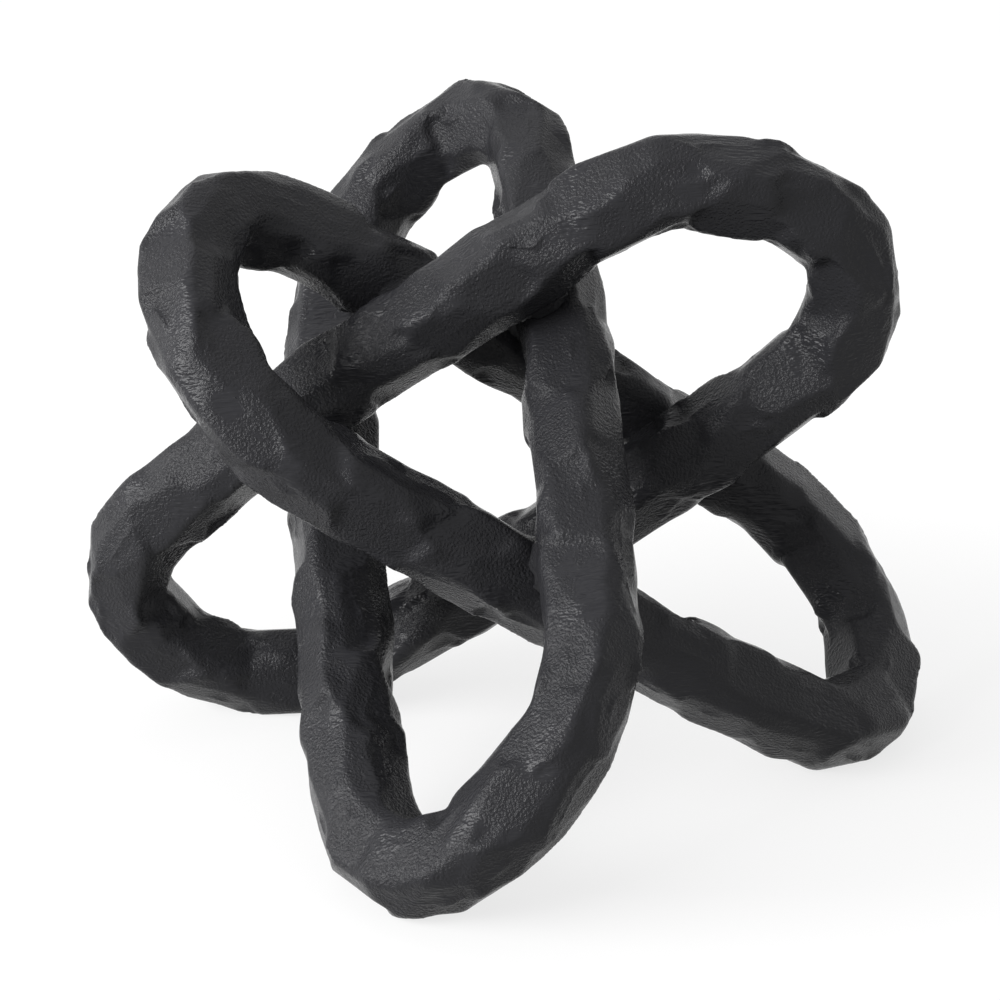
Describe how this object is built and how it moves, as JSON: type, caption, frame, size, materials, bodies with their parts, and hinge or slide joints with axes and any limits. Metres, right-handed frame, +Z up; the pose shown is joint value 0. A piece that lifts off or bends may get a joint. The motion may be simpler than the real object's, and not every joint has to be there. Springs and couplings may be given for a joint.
{
  "type": "metal knot sculpture",
  "caption": "Table-top knot of three interlocked oval links in black chiselled cast metal, free-standing on ground lobes.",
  "frame": {"origin": "centre of the outline seen from above, at the floor the lobes stand on", "axes": "+Z up, +X to the viewer's right, the pictured side faces -Y"},
  "size_m": [0.2412, 0.2106, 0.1779],
  "materials": {
    "coated_casting": "satin",
    "coated_weld": "satin",
    "dowel_steel": "satin"
  },
  "bodies": {
    "root": {"crossing_weld_front_right_right_bottom": "coated_weld", "crossing_weld_front_right_right_top": "coated_weld", "crossing_weld_left_top_front_left": "coated_weld", "crossing_weld_left_top_front_right": "coated_weld", "crossing_weld_right_top_left_bottom": "coated_weld", "crossing_weld_right_top_left_top": "coated_weld", "front_link_left_dowel": "dowel_steel", "front_link_left_seam_weld": "coated_weld", "front_link_lower_half": "coated_casting", "front_link_right_dowel": "dowel_steel", "front_link_right_seam_weld": "coated_weld", "front_link_upper_half": "coated_casting", "left_link_bottom_dowel": "dowel_steel", "left_link_bottom_seam_weld": "coated_weld", "left_link_lower_half": "coated_casting", "left_link_top_dowel": "dowel_steel", "left_link_top_seam_weld": "coated_weld", "left_link_upper_half": "coated_casting", "right_link_bottom_dowel": "dowel_steel", "right_link_bottom_seam_weld": "coated_weld", "right_link_lower_half": "coated_casting", "right_link_top_dowel": "dowel_steel", "right_link_top_seam_weld": "coated_weld", "right_link_upper_half": "coated_casting"}
  },
  "joints": []
}
